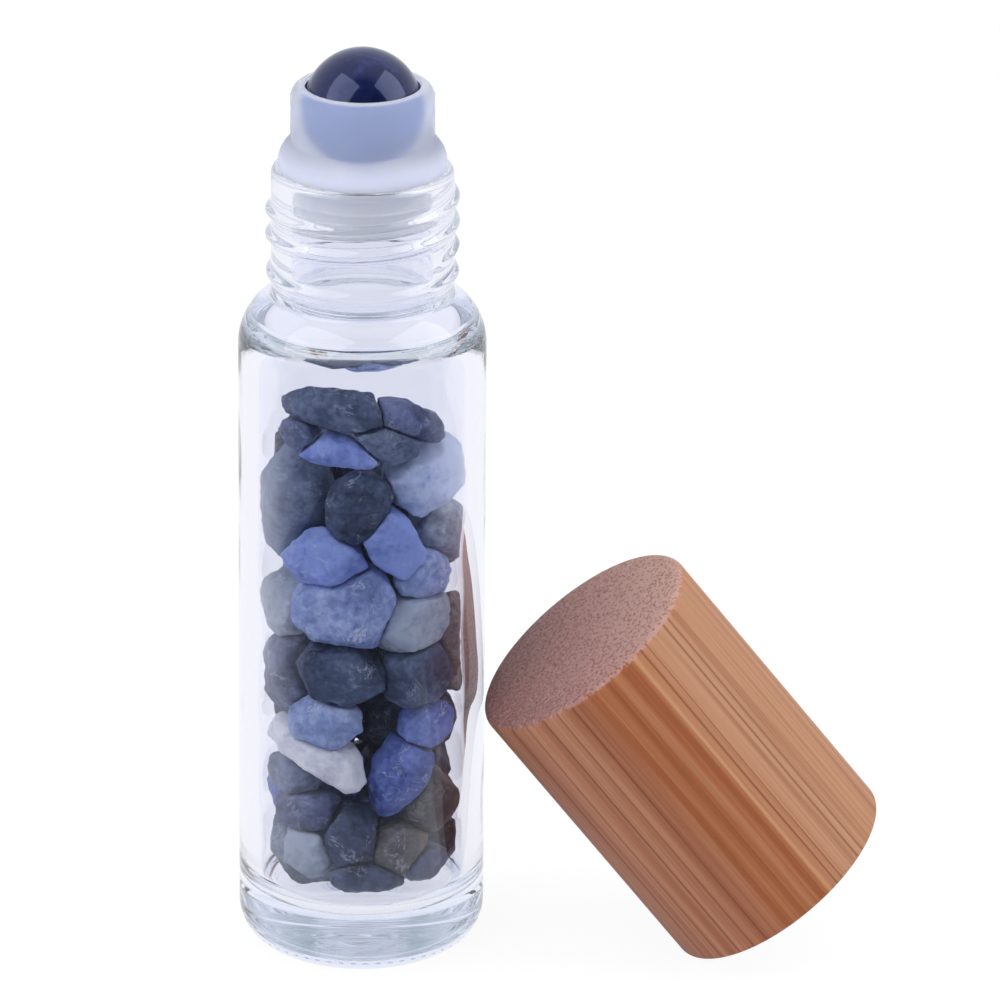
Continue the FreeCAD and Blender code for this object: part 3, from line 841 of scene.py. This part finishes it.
# bamboo cap and its threaded liner, turned upright and then leaned on the bottle
bambooCap = {
    "rim": (34.2464 * mm, -0.6 * mm, 5.9687 * mm),     # centre of the open rim
    "lean": 37.8,
    "turn": 7.7,
    "radius": 10.1 * mm,
    "bore": 8.85 * mm,
    "length": 27.1 * mm,
    "boreEnd": 21.1 * mm,
    "rimRound": 0.55 * mm,
    "topRound": 0.7 * mm,
    "boreBevel": 0.25 * mm,
    "columns": 256,
    "sideRows": 20,
    "arcStep": 9,
    "smoothAngle": 40,
    # across the cap from its left side to its right: the glued strips' own tones, with a darker mauve left
    # edge that is painted shade and a lighter right side that is partly painted light
    "strips": ((0.0, (0.36, 0.150, 0.095)), (0.22, (0.42, 0.170, 0.095)), (0.40, (0.36, 0.125, 0.060)),
               (0.47, (0.37, 0.112, 0.038)), (0.665, (0.37, 0.108, 0.034)), (0.678, (0.58, 0.290, 0.135)),
               (0.692, (0.42, 0.155, 0.065)), (0.73, (0.47, 0.200, 0.095)), (0.79, (0.52, 0.255, 0.140)),
               (1.0, (0.52, 0.245, 0.125))),
    # place, half width and depth of the dark lines
    "seams": ((0.085, 0.006, 0.8), (0.150, 0.005, 0.9), (0.228, 0.006, 1.0), (0.292, 0.005, 0.8),
              (0.355, 0.006, 0.9), (0.545, 0.004, 0.6), (0.715, 0.005, 0.9), (0.742, 0.004, 0.7),
              (0.842, 0.006, 1.0), (0.868, 0.005, 0.9)),
    "paleFibre": (0.60, 0.320, 0.175),
    "darkFibre": (0.27, 0.080, 0.030),
    "line": (0.17, 0.048, 0.020),
    # colours of the cut end from its left side to its right: darker at left as painted shade, lighter at
    # right as painted light
    "end": ((0.0, (0.25, 0.115, 0.105)), (0.5, (0.42, 0.215, 0.185)), (1.0, (0.58, 0.340, 0.270))),
    "endPale": (0.62, 0.400, 0.340),
    "speck": (0.12, 0.045, 0.036),
    "drawn": (1, 1, 0.012),                # fibres run along the cap
    "wander": (1, 1, 0.05),
    "fineSize": 0.22 * mm,
    "broadSize": 3.0 * mm,
    "streakSize": 1.1 * mm,
    "bundleSize": 0.30 * mm,
    "bundleRange": (0.20, 0.50),
    "bundleShare": 0.22,
    "paleStreaks": ((0.40, 0.70), 0.38),   # range and share
    "darkStreaks": ((0.32, 0.50), 0.50),
    "paleThreads": ((0.50, 0.74), 0.26),
    "endThreads": ((0.45, 0.70), 0.50),
    "lineShare": 0.9,
    "speckShare": 0.72,
    "relief": (0.5, 0.4, 0.4, 0.4),        # shares of threads, streaks, bundles and lines
    "loose": 0.03,                         # how far strips and lines wander
    "ragged": 0.30 * mm,                   # edge of the cut end
    "endFrom": (0.42 * mm, 0.22 * mm),     # under the top
    "rough": (0.48, 0.22),
    "bump": (0.4, 0.08 * mm),
    "ior": 1.42,
    "shine": 0.25,
}
capLiner = {
    "bore": 8.0 * mm,
    "radius": 8.8 * mm,
    "setback": 0.8 * mm,
    "depth": 20.05 * mm,
    "top": 1.0 * mm,
    "bevel": 1.0 * mm,
    "threadProud": 0.42 * mm,
    "threadHalf": 0.7 * mm,
    "threadPitch": 2.1 * mm,
    "threadSpan": (2.2 * mm, 9.6 * mm),
    "threadFade": 1 * mm,
    "rimBevel": 0.2 * mm,
    "columns": 160,
    "boreRows": 120,
    "smoothAngle": 35,
    "slack": 0.01 * mm,
    "tones": ((0.78, 0.78, 0.76), (0.84, 0.84, 0.82)),
    "toneSize": 4 * mm,
    "fineSize": 0.3 * mm,
    "rough": (0.34, 0.15),
    "bump": (0.08, 0.04 * mm),
    "ior": 1.49,
}


def capTurn():
    return (0, math.radians(-bambooCap["lean"]), math.radians(bambooCap["turn"]))


def leanCap(piece):
    piece.rotation_euler = capTurn()
    piece.location = bambooCap["rim"]
    bpy.ops.object.transform_apply(location=True, rotation=True, scale=True)


def bambooMaterial():
    finish = bambooCap
    material, place = newMaterial("bamboo")
    inCap = place.moved(place=finish["rim"], turn=capTurn(), kind="TEXTURE")
    drawn = inCap.moved(scale=finish["drawn"])
    wander = inCap.moved(scale=finish["wander"])
    share = inCap.node("SeparateXYZ", {}, {0: inCap}, "X") * (0.5 / finish["radius"]) + 0.5
    fine = drawn.cloud(finish["fineSize"], 4, 0.65)
    broad = wander.cloud(finish["broadSize"], 3, 0.5)
    streak = drawn.cloud(finish["streakSize"], 4, 0.6)
    # fibre bundles: specks on the end, streaks along the side
    cells = drawn.node("TexVoronoi", {"feature": "F1"}, {"Vector": drawn, "Scale": 1 / finish["bundleSize"]})
    bundle = 1 - cells.between(*finish["bundleRange"])
    # glued strips and dark lines on the side; the strips' colours also hold painted shade at the left edge
    # and painted light on the right
    loose = share + (broad - 0.5) * finish["loose"]
    stops = []
    for middle, half, depth in finish["seams"]:
        stops += [(middle - half, (0, 0, 0)), (middle, (depth, depth, depth)), (middle + half, (0, 0, 0))]
    seams = loose.ramp(*stops)
    strips = loose.ramp(*finish["strips"])
    reach, part = finish["paleStreaks"]
    colour = (streak.between(*reach) * part).blend(strips, finish["paleFibre"])
    reach, part = finish["darkStreaks"]
    colour = ((1 - streak.between(*reach)) * part).blend(colour, finish["darkFibre"])
    colour = (bundle * finish["bundleShare"]).blend(colour, finish["darkFibre"])
    reach, part = finish["paleThreads"]
    colour = (fine.between(*reach) * part).blend(colour, finish["paleFibre"])
    colour = (seams * finish["lineShare"]).blend(colour, finish["line"])
    # the cut end is mauve, with dark specks and a ragged edge, and a painted shade that darkens it from its
    # right side to its left
    up = inCap.node("SeparateXYZ", {}, {0: inCap}, "Z") - bundle * finish["ragged"]
    onEnd = up.between(*[finish["length"] - step for step in finish["endFrom"]])
    reach, part = finish["endThreads"]
    endGrainAndShade = (fine.between(*reach) * part).blend(share.ramp(*finish["end"]), finish["endPale"])
    endGrainAndShade = (bundle * finish["speckShare"]).blend(endGrainAndShade, finish["speck"])
    ofFine, ofStreak, ofBundle, ofSeams = finish["relief"]
    height = fine * ofFine + streak * ofStreak - bundle * ofBundle - seams * ofSeams
    smooth, rougher = finish["rough"]
    place.show(place.surface(baseColor=onEnd.blend(colour, endGrainAndShade), roughness=smooth + fine * rougher,
                             normal=height.bump(*finish["bump"]), ior=finish["ior"],
                             specularIorLevel=finish["shine"]))
    return material


def linerMaterial():
    finish = capLiner
    material, place = newMaterial("liner_plastic")
    fine = place.cloud(finish["fineSize"], 3)
    tone = place.cloud(finish["toneSize"], 2).blend(*finish["tones"])
    smooth, rougher = finish["rough"]
    place.show(place.surface(baseColor=tone, roughness=smooth + fine * rougher,
                             normal=fine.bump(*finish["bump"]), ior=finish["ior"]))
    return material


def makeCap():
    size = bambooCap
    shoulder = size["length"] - size["topRound"]
    corners = [
        (size["bore"], size["boreBevel"]),
        (size["bore"] + size["boreBevel"], 0),
        (size["radius"] - size["rimRound"], 0),
        (size["radius"], size["rimRound"], size["radius"] - size["rimRound"], size["rimRound"]),
        *rows(size["radius"], size["rimRound"], shoulder, size["sideRows"]),
        (size["radius"] - size["topRound"], size["length"], size["radius"] - size["topRound"], shoulder),
        *discRows(size["radius"] - size["topRound"], size["length"]),
        (0, size["boreEnd"]),
        (size["bore"], size["boreEnd"]),
        (size["bore"], size["boreBevel"]),
    ]
    piece = turnProfile("bamboo_shell", corners, size["columns"], size["arcStep"])
    closeMesh(size["smoothAngle"])
    leanCap(piece)
    dress(piece, bambooMaterial(), "cap", "bamboo", "bamboo_cap")
    print("cap:", len(piece.data.polygons), "faces")


def makeLiner():
    size = capLiner
    end = size["depth"] + size["top"]
    low, high = size["threadSpan"]
    corners = [
        (size["bore"] + size["rimBevel"], size["setback"]),
        (size["radius"], size["setback"]),
        (size["radius"], end),
        (0, end),
        (0, size["depth"]),
        (size["bore"] - size["bevel"], size["depth"]),
        (size["bore"], size["depth"] - size["bevel"]),
        *rows(size["bore"], size["depth"] - size["bevel"], size["setback"] + size["rimBevel"],
              size["boreRows"]),
        (size["bore"] + size["rimBevel"], size["setback"]),
    ]
    piece = turnProfile("threaded_liner", corners, size["columns"])
    closeMesh(size["smoothAngle"])
    for point in piece.data.vertices:
        place = point.co
        out = math.hypot(place.x, place.y)
        if abs(out - size["bore"]) > size["slack"] or not low < place.z < high:
            continue
        turn = math.atan2(place.y, place.x) / (2 * math.pi)
        off = (place.z - size["threadPitch"] * turn) / size["threadPitch"]
        off = (off - round(off)) * size["threadPitch"] / size["threadHalf"]
        fade = min(1, (place.z - low) / size["threadFade"], (high - place.z) / size["threadFade"])
        if abs(off) < 1:
            inward = size["threadProud"] * fade * math.cos(off * math.pi / 2) ** 2
            place -= Vector((place.x, place.y, 0)) / out * inward
    leanCap(piece)
    dress(piece, linerMaterial(), "cap", "liner_plastic", "cap_liner")
    print("liner:", len(piece.data.polygons), "faces")


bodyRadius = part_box("glass_bottle")[1].x
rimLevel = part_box("glass_bottle")[1].z
ballLow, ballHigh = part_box("roller_ball")
ballLevel = (ballLow.z + ballHigh.z) / 2
ballRadius = (ballHigh.z - ballLow.z) / 2

addCamera()
addStage()
makeGlass()
makeChips()
makeHousing()
makeBall()
makeCap()
makeLiner()
